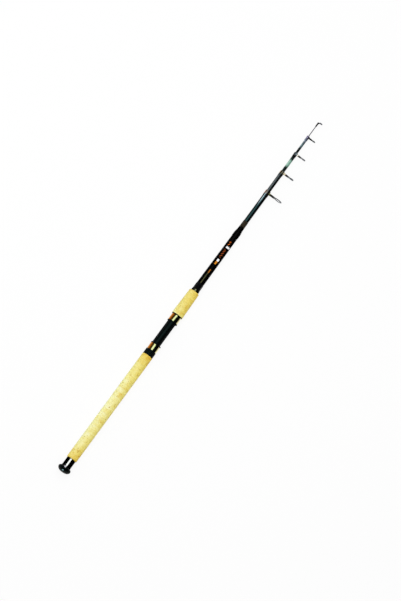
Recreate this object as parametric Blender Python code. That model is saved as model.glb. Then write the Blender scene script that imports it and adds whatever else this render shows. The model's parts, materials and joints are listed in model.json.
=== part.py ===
"""Telescopic spinning rod, pushed together, in metres.

The rod's axis is the X axis. The butt's end face is at x = 0, the tip points to +X, the guides and the bed
for the reel's foot face -Y, and +Z is up when the rod lies on its side on a table.
"""

import math

import bmesh
import bpy
from mathutils import Matrix, Vector
from mathutils.geometry import interpolate_bezier

# Fits between pieces
SLIDE_CLEARANCE = 0.00015  # all round, between pieces that slide or turn on each other
GLUE_GAP = 0.00015  # all round, between pieces that are glued or pressed together
END_GAP = 0.0003  # between end faces that meet
EDGE_ROUNDING = 0.0004

# Butt cap and the sleeve that it screws into
KNOB_RADIUS = 0.01725
KNOB_END_FLAT_RADIUS = 0.0035
KNOB_DOME_LENGTH = 0.0075
KNOB_SHOULDER_LENGTH = 0.0067
PLUG_LENGTH = 0.0120
SEAL_THICKNESS = 0.0014
CUSHION_LENGTH = 0.0050
SLEEVE_RADIUS = 0.0119
SLEEVE_FLARE = 0.0006
SLEEVE_FLARE_LENGTH = 0.0035
SLEEVE_LENGTH = 0.0235

# Cork grips
REAR_GRIP_LENGTH = 0.3200
REAR_GRIP_RADIUS = 0.0139
REAR_GRIP_ROUNDING = 0.0026
FORE_GRIP_LENGTH = 0.0725
FORE_GRIP_REAR_RADIUS = 0.0150
FORE_GRIP_FRONT_RADIUS = 0.0134
FORE_GRIP_ROUNDING = 0.0010

# Reel seat
BARREL_WALL = 0.00225
BED_LENGTH = 0.0668  # between the hoods, with the sliding hood right back
BED_DEPTH = 0.0005  # how far the flat bed is cut into the barrel
BED_RISE = 0.00015  # how far the bed stands above the flat track under the hoods
HOOD_WALL = 0.0006
HOOD_COVER_WALL = 0.00045
HOOD_COVER_LENGTH = 0.0172
HOOD_LIP_LENGTH = 0.0026
HOOD_LIP_HEIGHT = 0.0005
HOOD_BULGE = 0.0009  # how far a hood swells over the reel's foot
POCKET_WIDTH = 0.0088
POCKET_DEPTH = 0.0140
POCKET_ROOF = 0.0006
NUT_LENGTH = 0.0155
NUT_WALL = 0.0019
NUT_RIM_LENGTH = 0.0024
NUT_FLUTES = 20
FLUTE_DEPTH = 0.0005
FLUTE_RADIUS = 0.0012
FRONT_RING_LENGTH = 0.0020
FRONT_RING_RADIUS = 0.0142

# Trim in front of the fore grip
CHECK_LENGTH = 0.0062
CHECK_WALL = 0.0009
FORE_WINDING_LENGTH = 0.0180
WINDING_WALL = 0.00045
WINDING_CONE_LENGTH = 0.0030

# Butt blank and nose collar
BLANK_WALL = 0.00085  # at the nose
BLANK_TAPER = 0.0010  # how much the blank's radius grows from the nose back to the fore grip
HANDLE_WALL_GROWTH = 0.00035  # how much thicker the blank is under the handle
BLANK_SHOWS = 0.1450
NOSE_LENGTH = 0.0310
NOSE_BEAD_LENGTH = 0.0100
NOSE_BEAD_HEIGHT = 0.00055
NOSE_LIP_LENGTH = 0.0050
NOSE_LIP_WALL = 0.0005
SPIGOT_LENGTH = 0.0250

# Sections, each from the end of the one outside it to its own end
SECTION_2_SHOWS = 0.1125
SECTION_3_SHOWS = 0.0612
SECTION_4_SHOWS = 0.0574
SECTION_5_SHOWS = 0.0518
TIP_SHOWS = 0.0421
SECTION_WALL = 0.0006
SECTION_TAPER = 0.00025
TIP_BASE_RADIUS = 0.00235
TIP_END_RADIUS = 0.00095
BASE_LENGTH = 0.0300  # the swelled base, which stops in the mouth of the section outside it
BASE_SWELL = 0.0002
MOUTH_LENGTH = 0.0350  # the narrower bore at a section's front end
CONE_LENGTH = 0.0120  # between a base or a mouth and the rest of the section
BUSH_LENGTH = 0.0360
BUSH_WALL = 0.00075
STOP_BAND_LENGTH = 0.0170
STOP_BAND_WALL = 0.0005

# Guides. A reach is from the rod's axis to the middle of the ring
GUIDE_1_REACH = 0.0325
GUIDE_1_RADIUS = 0.0106
GUIDE_2_REACH = 0.0281
GUIDE_2_RADIUS = 0.0063
GUIDE_3_REACH = 0.0240
GUIDE_3_RADIUS = 0.0052
GUIDE_4_REACH = 0.0177
GUIDE_4_RADIUS = 0.0044
TIP_TOP_REACH = 0.0064
TIP_TOP_RADIUS = 0.0042
RING_BORE_SHARE = 0.74  # of a guide's radius
HOLDER_SHARE = 0.35  # of the band between a guide's radius and its bore
HOLDER_LENGTH = 0.0015
RING_PROUD = 0.0004  # how far a ceramic ring stands out of its holder at each side
COLLAR_WALL = 0.0006
FIRST_COLLAR_LENGTH = 0.0095
COLLAR_LENGTH = 0.0075
COLLAR_TO_RING = 0.0042  # from a collar's rear end to the middle of its ring
WINDING_LENGTH = 0.0060
LEG_THICKNESS = 0.0010
LEG_ROOT_WIDTH = 0.0034
LEG_END_WIDTH = 0.0013
LEG_INSET = 0.0007  # how far in from the collar's side a leg starts
LEG_SPREAD = 42.0  # degrees round the holder from its nearest point to the rod
LEG_BEND_SHARE = 0.3  # how far a leg's curve leans back to its straight part where it meets the holder
TIP_TUBE_LENGTH = 0.0060
TIP_TUBE_WALL = 0.0005
TIP_LEG_THICKNESS = 0.0007
TIP_LEG_WIDTH = 0.0012

# Smoothness
HANDLE_STEPS = 24
SECTION_STEPS = 20
RING_STEPS = 20
ARC_STEPS = 4


def section_sizes(shows):
    """Radii of sections 2 to 5, from the tip rod outwards, so that each one clears the one inside it."""
    sizes = []
    inside = TIP_BASE_RADIUS
    for length in reversed(shows):
        mouth = inside + SLIDE_CLEARANCE
        end = mouth + SECTION_WALL
        inside = end + SECTION_TAPER
        bore = mouth + BASE_SWELL
        sizes.insert(0, {"shows": length, "mouth": mouth, "bore": bore, "end": end, "base": inside})
    return sizes


SECTIONS = section_sizes((SECTION_2_SHOWS, SECTION_3_SHOWS, SECTION_4_SHOWS, SECTION_5_SHOWS))

# Radii that follow, from the sections outwards
NOSE_BORE = SECTIONS[0]["base"] + SLIDE_CLEARANCE
BUSH_BORE = SECTIONS[0]["base"] + GLUE_GAP
BUSH_RADIUS = BUSH_BORE + BUSH_WALL
NOSE_BLANK_BORE = BUSH_RADIUS + SLIDE_CLEARANCE
NOSE_BLANK_RADIUS = NOSE_BLANK_BORE + BLANK_WALL
BLANK_RADIUS = NOSE_BLANK_RADIUS + BLANK_TAPER
BLANK_BORE = BLANK_RADIUS - BLANK_WALL - HANDLE_WALL_GROWTH
SEAT_BORE = BLANK_RADIUS + GLUE_GAP
BARREL_RADIUS = SEAT_BORE + BARREL_WALL
BED_HEIGHT = BARREL_RADIUS - BED_DEPTH
HOOD_BORE = BARREL_RADIUS + SLIDE_CLEARANCE
HOOD_RADIUS = HOOD_BORE + HOOD_WALL
COVER_BORE = HOOD_RADIUS + GLUE_GAP
COVER_RADIUS = COVER_BORE + HOOD_COVER_WALL
LIP_RADIUS = COVER_RADIUS + HOOD_LIP_HEIGHT
HOOD_LENGTH = HOOD_LIP_LENGTH + END_GAP + HOOD_COVER_LENGTH

# Places along the rod that follow, from the butt to the sections' ends
X_SLEEVE = KNOB_DOME_LENGTH + KNOB_SHOULDER_LENGTH + END_GAP
X_PLUG_END = X_SLEEVE + PLUG_LENGTH
X_BLANK = X_PLUG_END + END_GAP
X_BASES = X_BLANK + CUSHION_LENGTH + END_GAP
X_REAR_GRIP = X_SLEEVE + SLEEVE_LENGTH + END_GAP
X_BARREL = X_REAR_GRIP + REAR_GRIP_LENGTH + END_GAP
X_BED = X_BARREL + NUT_LENGTH + END_GAP + HOOD_LENGTH
X_FIXED_HOOD = X_BED + BED_LENGTH
X_FRONT_RING = X_FIXED_HOOD + HOOD_LENGTH + END_GAP
X_FORE_GRIP = X_FRONT_RING + FRONT_RING_LENGTH + END_GAP
X_CHECK = X_FORE_GRIP + FORE_GRIP_LENGTH + END_GAP
X_FORE_WINDING = X_CHECK + CHECK_LENGTH + END_GAP
X_NOSE = X_FORE_WINDING + FORE_WINDING_LENGTH + BLANK_SHOWS
X_NOSE_END = X_NOSE + NOSE_LENGTH
for before, size in zip([{"x_end": X_NOSE_END}, *SECTIONS], SECTIONS):
    size["x_end"] = before["x_end"] + size["shows"]
X_TIP_END = SECTIONS[-1]["x_end"] + TIP_SHOWS
X_TAPERS = X_BASES + BASE_LENGTH + CONE_LENGTH

FINISHES = {
    "gloss black lacquer": ((0.008, 0.009, 0.010), 0.12, 0.0),
    "satin black plastic": ((0.012, 0.014, 0.016), 0.42, 0.0),
    "cork": ((0.72, 0.55, 0.26), 0.78, 0.0),
    "gold plated steel": ((0.83, 0.58, 0.20), 0.18, 1.0),
    "lacquered bronze thread": ((0.30, 0.16, 0.06), 0.28, 0.0),
    "graphite": ((0.020, 0.032, 0.036), 0.16, 0.0),
    "bronze chrome": ((0.36, 0.20, 0.07), 0.25, 1.0),
    "dark chrome": ((0.10, 0.10, 0.11), 0.25, 1.0),
    "ceramic": ((0.20, 0.21, 0.23), 0.20, 0.0),
    "rubber": ((0.010, 0.010, 0.010), 0.75, 0.0),
}


def add_object(name, bm, finish=None, x=0.0):
    """The bmesh as an object at x along the rod's axis. Without a finish it is a form that cuts or is joined
    to a piece."""
    bmesh.ops.recalc_face_normals(bm, faces=bm.faces)
    mesh = bpy.data.meshes.new(name)
    bm.to_mesh(mesh)
    bm.free()
    mesh.shade_smooth()
    mesh.set_sharp_from_angle(angle=math.radians(35))
    made = bpy.data.objects.new(name, mesh)
    made.location.x = x
    bpy.context.scene.collection.objects.link(made)
    if finish:
        colour, roughness, metallic = FINISHES[finish]
        material = bpy.data.materials.new(f"{finish} of {name}")
        material.use_nodes = True
        shader = material.node_tree.nodes["Principled BSDF"]
        shader.inputs["Base Color"].default_value = (*colour, 1.0)
        shader.inputs["Roughness"].default_value = roughness
        shader.inputs["Metallic"].default_value = metallic
        material.diffuse_color = (*colour, 1.0)
        mesh.materials.append(material)
    else:
        made.hide_render = True
        made.display_type = "WIRE"
    return made


def combine(piece, form, operation):
    change = piece.modifiers.new(f"{operation.title()} {form.name}", "BOOLEAN")
    change.operation = operation
    change.object = form
    change.solver = "EXACT"


def turn(outline, steps, closed=True):
    """A bmesh of an outline of (x, radius) points turned round the X axis, with a facet facing down."""
    half_facet = math.pi / steps
    bm = bmesh.new()
    verts = [bm.verts.new((x, r * math.sin(half_facet), -r * math.cos(half_facet))) for x, r in outline]
    edges = [bm.edges.new(pair) for pair in zip(verts, verts[1:])]
    if closed:
        edges.append(bm.edges.new((verts[-1], verts[0])))
    bmesh.ops.spin(bm, geom=verts + edges, cent=(0, 0, 0), axis=(1, 0, 0), angle=math.tau, steps=steps)
    bmesh.ops.remove_doubles(bm, verts=bm.verts, dist=1e-7)
    on_axis = [vert for vert in bm.verts if vert.co.y == 0 and vert.co.z == 0]
    bmesh.ops.dissolve_verts(bm, verts=on_axis)
    return bm


def turn_bar(x_start, x_end, radius, steps):
    """A bmesh of a plain round bar."""
    return turn([(x_start, 0), (x_start, radius), (x_end, radius), (x_end, 0)], steps, closed=False)


def quarter_turn(steps):
    return [math.radians(90 * i / steps) for i in range(steps + 1)]


def blend(x_start, r_start, x_end, r_end, steps=ARC_STEPS):
    """Points of a soft S from one radius to another."""
    points = []
    for i in range(steps + 1):
        share = (1 - math.cos(math.pi * i / steps)) / 2
        points.append((x_start + (x_end - x_start) * i / steps, r_start + (r_end - r_start) * share))
    return points


def ring_outline(x_start, x_end, radius, bore, edge=EDGE_ROUNDING):
    """The outline of a plain ring or tube with its outer edges broken."""
    outline = [(x_start, bore), (x_start, radius - edge), (x_start + edge, radius)]
    outline += [(x_end - edge, radius), (x_end, radius - edge), (x_end, bore)]
    return outline


def winding_outline(x_full, r_full, x_thin, r_thin):
    """A thread winding on a surface of these radii, full at one end and thinned down at the other."""
    way = math.copysign(1, x_thin - x_full)
    return [
        (x_full, r_full + GLUE_GAP),
        (x_full, r_full + GLUE_GAP + WINDING_WALL),
        (x_thin - way * WINDING_CONE_LENGTH, r_thin + GLUE_GAP + WINDING_WALL),
        (x_thin, r_thin + GLUE_GAP + WINDING_WALL / 3),
        (x_thin, r_thin + GLUE_GAP),
    ]


def bulge_at(depth):
    """A hood's bulge at a depth behind its lip: full over the pocket, then fading to none at its end."""
    faded = (depth - POCKET_DEPTH) / (HOOD_LENGTH - POCKET_DEPTH)
    return HOOD_BULGE * (1 - max(0.0, faded))


def skin(bm, rings, closed=False):
    """Faces from each ring of points to the next, then to the first if closed, or else over both ends."""
    loops = [[bm.verts.new(point) for point in ring] for ring in rings]
    pairs = list(zip(loops, loops[1:]))
    if closed:
        pairs.append((loops[-1], loops[0]))
    else:
        bm.faces.new(loops[0])
        bm.faces.new(loops[-1])
    for one, other in pairs:
        for i in range(len(one)):
            bm.faces.new((one[i - 1], one[i], other[i], other[i - 1]))


def hood_loft(way, stations, closed=False):
    """A bmesh through rings at (depth, radius) behind a hood's lip, swelling towards -Y by the bulge."""
    rings = []
    for depth, radius in stations:
        ring = []
        for i in range(HANDLE_STEPS):
            angle = math.tau * (i + 0.5) / HANDLE_STEPS
            r = radius + bulge_at(depth) * max(0.0, math.sin(angle)) ** 4
            ring.append((way * depth, -r * math.sin(angle), r * math.cos(angle)))
        rings.append(ring)
    bm = bmesh.new()
    skin(bm, rings, closed)
    return bm


def cut_flat(bm, point, outward):
    """Cut away what lies beyond a plane and close the cut."""
    geometry = bm.verts[:] + bm.edges[:] + bm.faces[:]
    bmesh.ops.bisect_plane(bm, geom=geometry, plane_co=point, plane_no=outward, clear_outer=True)
    bmesh.ops.holes_fill(bm, edges=[edge for edge in bm.edges if edge.is_boundary], sides=0)


def make_butt_cap():
    """The domed knob with its threaded plug, the seal round the plug's root and the cushion on its end."""
    x_face = KNOB_DOME_LENGTH + KNOB_SHOULDER_LENGTH
    neck = SLEEVE_RADIUS + SLEEVE_FLARE
    plug = SEAT_BORE - SLIDE_CLEARANCE
    root = plug - SEAL_THICKNESS / 2
    centre = (KNOB_RADIUS**2 - KNOB_END_FLAT_RADIUS**2 + KNOB_DOME_LENGTH**2) / (2 * KNOB_DOME_LENGTH)
    dome_radius = math.hypot(centre, KNOB_END_FLAT_RADIUS)
    first = math.atan2(KNOB_END_FLAT_RADIUS, centre)
    last = math.atan2(KNOB_RADIUS, centre - KNOB_DOME_LENGTH)
    outline = [(0.0, 0.0)]
    for i in range(ARC_STEPS + 2):
        angle = first + (last - first) * i / (ARC_STEPS + 1)
        outline.append((centre - dome_radius * math.cos(angle), dome_radius * math.sin(angle)))
    for angle in quarter_turn(ARC_STEPS)[1:]:
        across = neck + (KNOB_RADIUS - neck) * math.cos(angle)
        outline.append((KNOB_DOME_LENGTH + KNOB_SHOULDER_LENGTH * math.sin(angle), across))
    x_groove = x_face + SEAL_THICKNESS + 2 * GLUE_GAP
    outline += [(x_face, root), (x_groove, root), (x_groove, plug), (X_PLUG_END - EDGE_ROUNDING, plug)]
    outline += [(X_PLUG_END, plug - EDGE_ROUNDING), (X_PLUG_END, 0.0)]
    add_object("butt_cap", turn(outline, HANDLE_STEPS, closed=False), "satin black plastic")

    half = SEAL_THICKNESS / 2
    x_seal = x_face + GLUE_GAP + half
    seal = []
    for i in range(6):
        angle = math.radians(30 + 60 * i)
        seal.append((x_seal + half * math.cos(angle), root + GLUE_GAP + half * (1 + math.sin(angle))))
    add_object("cap_seal", turn(seal, HANDLE_STEPS), "rubber")

    across = BLANK_BORE - 2 * SLIDE_CLEARANCE
    x_front = X_BLANK + CUSHION_LENGTH
    cushion = [(X_BLANK, 0.0), (X_BLANK, across), (x_front - EDGE_ROUNDING, across)]
    cushion += [(x_front, across - EDGE_ROUNDING), (x_front, 0.0)]
    add_object("cap_cushion", turn(cushion, SECTION_STEPS, closed=False), "rubber")


def make_grips():
    """The gloss sleeve at the butt and the two cork grips."""
    x_end = X_SLEEVE + SLEEVE_LENGTH
    counterbore = SEAT_BORE + SEAL_THICKNESS / 2 + GLUE_GAP
    x_counterbore = X_SLEEVE + SEAL_THICKNESS
    outline = blend(X_SLEEVE, SLEEVE_RADIUS + SLEEVE_FLARE, X_SLEEVE + SLEEVE_FLARE_LENGTH, SLEEVE_RADIUS)
    outline += [(x_end - EDGE_ROUNDING, SLEEVE_RADIUS), (x_end, SLEEVE_RADIUS - EDGE_ROUNDING)]
    outline += [(x_end, SEAT_BORE), (x_counterbore, SEAT_BORE)]
    outline += [(x_counterbore, counterbore), (X_SLEEVE, counterbore)]
    add_object("butt_sleeve", turn(outline, HANDLE_STEPS), "gloss black lacquer")

    x_end = X_REAR_GRIP + REAR_GRIP_LENGTH
    outline = []
    for angle in quarter_turn(ARC_STEPS):
        drop = REAR_GRIP_ROUNDING * (1 - math.sin(angle))
        outline.append((X_REAR_GRIP + REAR_GRIP_ROUNDING * (1 - math.cos(angle)), REAR_GRIP_RADIUS - drop))
    outline += [(x_end - EDGE_ROUNDING, REAR_GRIP_RADIUS), (x_end, REAR_GRIP_RADIUS - EDGE_ROUNDING)]
    outline += [(x_end, SEAT_BORE), (X_REAR_GRIP, SEAT_BORE)]
    add_object("rear_grip", turn(outline, HANDLE_STEPS), "cork")

    x_end = X_FORE_GRIP + FORE_GRIP_LENGTH
    x_edge = X_FORE_GRIP + EDGE_ROUNDING
    outline = [(X_FORE_GRIP, FORE_GRIP_REAR_RADIUS - EDGE_ROUNDING), (x_edge, FORE_GRIP_REAR_RADIUS)]
    for angle in quarter_turn(ARC_STEPS):
        drop = FORE_GRIP_ROUNDING * (1 - math.cos(angle))
        outline.append((x_end - FORE_GRIP_ROUNDING * (1 - math.sin(angle)), FORE_GRIP_FRONT_RADIUS - drop))
    outline += [(x_end, SEAT_BORE), (X_FORE_GRIP, SEAT_BORE)]
    add_object("fore_grip", turn(outline, HANDLE_STEPS), "cork")


def make_hood(name, x_lip, way, keyed):
    """A hood with its pocket for the reel's foot, and its gold cover. It runs from its lip to the tip at
    way 1 and to the butt at way -1. A keyed hood has a flat in its bore, so that it slides and can't turn."""
    edge = EDGE_ROUNDING
    stations = [(0, LIP_RADIUS - edge), (edge, LIP_RADIUS), (HOOD_LIP_LENGTH - edge, LIP_RADIUS)]
    stations += [(HOOD_LIP_LENGTH, LIP_RADIUS - edge), (HOOD_LIP_LENGTH, HOOD_RADIUS)]
    stations += [(POCKET_DEPTH, HOOD_RADIUS), (HOOD_LENGTH, HOOD_RADIUS)]
    hood = add_object(name, hood_loft(way, stations), "satin black plastic", x_lip)

    bore = turn_bar(-way * END_GAP, way * (HOOD_LENGTH + END_GAP), HOOD_BORE, HANDLE_STEPS)
    if keyed:
        cut_flat(bore, (0, -BED_HEIGHT - SLIDE_CLEARANCE, 0), (0, -1, 0))
    combine(hood, add_object(f"{name} bore", bore, x=x_lip), "DIFFERENCE")

    roof = HOOD_RADIUS - POCKET_ROOF
    pocket = hood_loft(way, [(-END_GAP, roof), (POCKET_DEPTH, roof)])
    cut_flat(pocket, (0, 0, POCKET_WIDTH / 2), (0, 0, 1))
    cut_flat(pocket, (0, 0, -POCKET_WIDTH / 2), (0, 0, -1))
    cut_flat(pocket, (0, BED_DEPTH - BED_HEIGHT, 0), (0, 1, 0))
    combine(hood, add_object(f"{name} pocket", pocket, x=x_lip), "DIFFERENCE")

    start = HOOD_LIP_LENGTH + END_GAP
    edge = HOOD_COVER_WALL / 2
    stations = [(start, COVER_RADIUS - edge), (start + edge, COVER_RADIUS), (POCKET_DEPTH, COVER_RADIUS)]
    stations += [(HOOD_LENGTH - edge, COVER_RADIUS), (HOOD_LENGTH, COVER_RADIUS - edge)]
    stations += [(HOOD_LENGTH, COVER_BORE), (POCKET_DEPTH, COVER_BORE), (start, COVER_BORE)]
    add_object(f"{name}_cover", hood_loft(way, stations, closed=True), "gold plated steel", x_lip)


def make_lock_nut():
    """The nut behind the sliding hood, with grip flutes between two plain rims."""
    radius = HOOD_BORE + NUT_WALL
    outline = ring_outline(X_BARREL, X_BARREL + NUT_LENGTH, radius, HOOD_BORE)
    nut = add_object("lock_nut", turn(outline, HANDLE_STEPS), "satin black plastic")
    flutes = bmesh.new()
    along_rod = Matrix.Rotation(math.radians(90), 4, "Y")
    out = Matrix.Translation((X_BARREL + NUT_LENGTH / 2, 0, radius - FLUTE_DEPTH + FLUTE_RADIUS))
    for i in range(NUT_FLUTES):
        bmesh.ops.create_cone(
            flutes,
            cap_ends=True,
            segments=8,
            radius1=FLUTE_RADIUS,
            radius2=FLUTE_RADIUS,
            depth=NUT_LENGTH - 2 * NUT_RIM_LENGTH,
            matrix=Matrix.Rotation(math.tau * i / NUT_FLUTES, 4, "X") @ out @ along_rod,
        )
    combine(nut, add_object("nut flutes", flutes), "DIFFERENCE")


def make_reel_seat():
    """The barrel with the bed for the reel's foot, both hoods, the lock nut and the ring in front."""
    outline = ring_outline(X_BARREL, X_FIXED_HOOD + HOOD_LENGTH, BARREL_RADIUS, SEAT_BORE)
    barrel = add_object("reel_seat_barrel", turn(outline, HANDLE_STEPS), "satin black plastic")
    outside = -BED_HEIGHT - 2 * BED_DEPTH
    track = BED_RISE - BED_HEIGHT
    x_start, x_end = X_BARREL - END_GAP, X_FIXED_HOOD + POCKET_DEPTH
    x_bed_start, x_bed_end = X_BED + END_GAP, X_FIXED_HOOD - END_GAP
    profile = [(x_start, outside), (x_start, track), (x_bed_start, track), (x_bed_start, -BED_HEIGHT)]
    profile += [(x_bed_end, -BED_HEIGHT), (x_bed_end, track), (x_end, track), (x_end, outside)]
    bed = bmesh.new()
    skin(bed, [[(x, y, z) for x, y in profile] for z in (-BARREL_RADIUS, BARREL_RADIUS)])
    combine(barrel, add_object("foot bed and track", bed), "DIFFERENCE")

    make_hood("sliding_hood", X_BED, -1, keyed=True)
    make_hood("fixed_hood", X_FIXED_HOOD, 1, keyed=False)
    make_lock_nut()
    outline = ring_outline(X_FRONT_RING, X_FRONT_RING + FRONT_RING_LENGTH, FRONT_RING_RADIUS, SEAT_BORE)
    add_object("seat_front_ring", turn(outline, HANDLE_STEPS), "satin black plastic")


def blank_radius(x):
    """The butt blank's outer radius in front of the fore grip, where it tapers to the nose."""
    return BLANK_RADIUS - BLANK_TAPER * (x - X_CHECK) / (X_NOSE - X_CHECK)


def make_butt_blank():
    """The blank through the handle, its nose collar, and the check and winding after the fore grip."""
    x_spigot = X_NOSE - SPIGOT_LENGTH
    outline = [(X_BLANK, BLANK_RADIUS), (X_CHECK, BLANK_RADIUS), (X_NOSE, NOSE_BLANK_RADIUS)]
    outline += [(X_NOSE, NOSE_BLANK_BORE), (x_spigot, NOSE_BLANK_BORE)]
    outline += [(X_CHECK, BLANK_BORE), (X_BLANK, BLANK_BORE)]
    add_object("butt_blank", turn(outline, HANDLE_STEPS), "gloss black lacquer")

    spigot = NOSE_BLANK_BORE - GLUE_GAP
    bead = NOSE_BLANK_RADIUS + NOSE_BEAD_HEIGHT
    lip = NOSE_BORE + NOSE_LIP_WALL
    x_rear = X_NOSE + END_GAP
    outline = [(x_spigot, spigot), (x_rear, spigot)]
    outline += [(x_rear, bead - EDGE_ROUNDING), (x_rear + EDGE_ROUNDING, bead)]
    outline += blend(x_rear + NOSE_BEAD_LENGTH, bead, X_NOSE_END - NOSE_LIP_LENGTH, lip, ARC_STEPS + 1)
    outline += [(X_NOSE_END, lip), (X_NOSE_END, NOSE_BORE), (x_spigot, NOSE_BORE)]
    add_object("nose_collar", turn(outline, HANDLE_STEPS), "gloss black lacquer")

    outline = ring_outline(X_CHECK, X_CHECK + CHECK_LENGTH, SEAT_BORE + CHECK_WALL, SEAT_BORE)
    add_object("winding_check", turn(outline, HANDLE_STEPS), "gloss black lacquer")
    x_end = X_FORE_WINDING + FORE_WINDING_LENGTH
    outline = winding_outline(X_FORE_WINDING, blank_radius(X_FORE_WINDING), x_end, blank_radius(x_end))
    add_object("fore_winding", turn(outline, HANDLE_STEPS), "gloss black lacquer")


def add_strap(bm, points, widths, thickness):
    """A flat strap along points, its width turned as far towards X as it can be, with rounded edges."""
    rings = []
    for i, (point, width) in enumerate(zip(points, widths)):
        along = points[min(i + 1, len(points) - 1)] - points[max(i - 1, 0)]
        across = along.cross(Vector((1, 0, 0))).normalized()
        side = across.cross(along).normalized()
        inset = width / 2 - thickness / 4
        half = width / 2
        corners = ((inset, 0.5), (half, 0), (inset, -0.5), (-inset, -0.5), (-half, 0), (-inset, 0.5))
        rings.append([point + side * u + across * v * thickness for u, v in corners])
    skin(bm, rings)


def make_legs(root, reach, holder, widths, thickness):
    """Two straps, mirrored in z, from a root in the collar's or tube's side into the holder's band."""
    spread = math.radians(LEG_SPREAD)
    end = Vector((0, holder["middle"] * math.cos(spread) - reach, holder["middle"] * math.sin(spread)))
    bend = Vector((root.x, (root.y + end.y) / 2, root.z))
    points = interpolate_bezier(root, bend, end.lerp(bend, LEG_BEND_SHARE), end, ARC_STEPS + 2)
    steps = len(points) - 1
    spans = [widths[0] + (widths[1] - widths[0]) * i / steps for i in range(steps + 1)]
    legs = bmesh.new()
    for side in (1, -1):
        add_strap(legs, [Vector((p.x, p.y, p.z * side)) for p in points], spans, thickness)
    return legs


def ring_holder(radius):
    """How a guide's band is shared between the holder and the ceramic ring in it."""
    bore = radius * RING_BORE_SHARE
    seat = radius - HOLDER_SHARE * (radius - bore)
    return {"radius": radius, "bore": bore, "seat": seat, "middle": (radius + seat) / 2}


def moved_out(bm, reach):
    """What was turned about the rod's axis, moved out to a ring's middle."""
    bmesh.ops.translate(bm, vec=(0, -reach, 0), verts=bm.verts)
    return bm


def finish_guide(name, frame, legs, collar_hole, reach, holder):
    """Join the legs and the band that holds the ring to a collar or tube, bore both, and make the ceramic
    ring. The frame's own x is 0 in the middle of the ring."""
    half = HOLDER_LENGTH / 2
    edge = HOLDER_LENGTH / 4
    x = frame.location.x
    radius = holder["radius"]
    disc = [(-half, 0), (-half, radius - edge), (edge - half, radius), (half - edge, radius)]
    disc += [(half, radius - edge), (half, 0)]
    band = moved_out(turn(disc, RING_STEPS, closed=False), reach)
    combine(frame, add_object(f"{name} legs", legs, x=x), "UNION")
    combine(frame, add_object(f"{name} holder", band, x=x), "UNION")
    combine(frame, add_object(f"{name} collar bore", collar_hole, x=x), "DIFFERENCE")
    hole = moved_out(turn_bar(-HOLDER_LENGTH, HOLDER_LENGTH, holder["seat"], RING_STEPS), reach)
    combine(frame, add_object(f"{name} ring seat", hole, x=x), "DIFFERENCE")
    weld = frame.modifiers.new("Weld slivers", "WELD")
    weld.merge_threshold = 0.000002

    outside = holder["seat"] - GLUE_GAP
    half += RING_PROUD
    rise = outside - RING_PROUD / 2 - holder["bore"]
    outline = []
    for i in range(ARC_STEPS + 1):
        angle = math.pi * i / ARC_STEPS
        outline.append((half * math.cos(angle), holder["bore"] + rise * (1 - math.sin(angle))))
    outline += [(RING_PROUD / 2 - half, outside), (half - RING_PROUD / 2, outside)]
    add_object(f"{name}_ring", moved_out(turn(outline, RING_STEPS), reach), "ceramic", x)


def make_guide(name, x_end, radius, collar_length, reach, ring_radius, finish):
    """A guide on a section's end: collar, two legs and holder in one, the ring, and the winding behind."""
    x_ring = x_end - collar_length + COLLAR_TO_RING
    start = -COLLAR_TO_RING
    end = collar_length - COLLAR_TO_RING
    bore = radius + GLUE_GAP
    outside = bore + COLLAR_WALL
    edge = COLLAR_WALL / 3
    collar = [(start, 0), (start, outside - edge), (start + edge, outside), (end - edge, outside)]
    collar += [(end, outside - edge), (end, 0)]
    frame = add_object(f"{name}_frame", turn(collar, SECTION_STEPS, closed=False), finish, x_ring)
    holder = ring_holder(ring_radius)
    root = Vector((0, 0, outside - LEG_INSET))
    legs = make_legs(root, reach, holder, (LEG_ROOT_WIDTH, LEG_END_WIDTH), LEG_THICKNESS)
    hole = turn_bar(start - COLLAR_WALL, end + COLLAR_WALL, bore, SECTION_STEPS)
    finish_guide(name, frame, legs, hole, reach, holder)
    outline = winding_outline(start - END_GAP, radius, start - END_GAP - WINDING_LENGTH, radius)
    add_object(f"{name}_winding", turn(outline, SECTION_STEPS), "lacquered bronze thread", x_ring)


def section_radius(size, x):
    """A section's outer radius between its base and its end."""
    return size["base"] - SECTION_TAPER * (x - X_TAPERS) / (size["x_end"] - X_TAPERS)


def make_section(name, size, swell):
    """A tapered tube with a swelled base and a mouth that the next section's base stops in."""
    x_mouth = size["x_end"] - MOUTH_LENGTH
    outline = [(X_BASES, size["base"] + swell), (X_BASES + BASE_LENGTH, size["base"] + swell)]
    outline += [(X_TAPERS, size["base"]), (size["x_end"], size["end"]), (size["x_end"], size["mouth"])]
    outline += [(x_mouth, size["mouth"]), (x_mouth - CONE_LENGTH, size["bore"]), (X_BASES, size["bore"])]
    add_object(name, turn(outline, SECTION_STEPS), "graphite")


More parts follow.
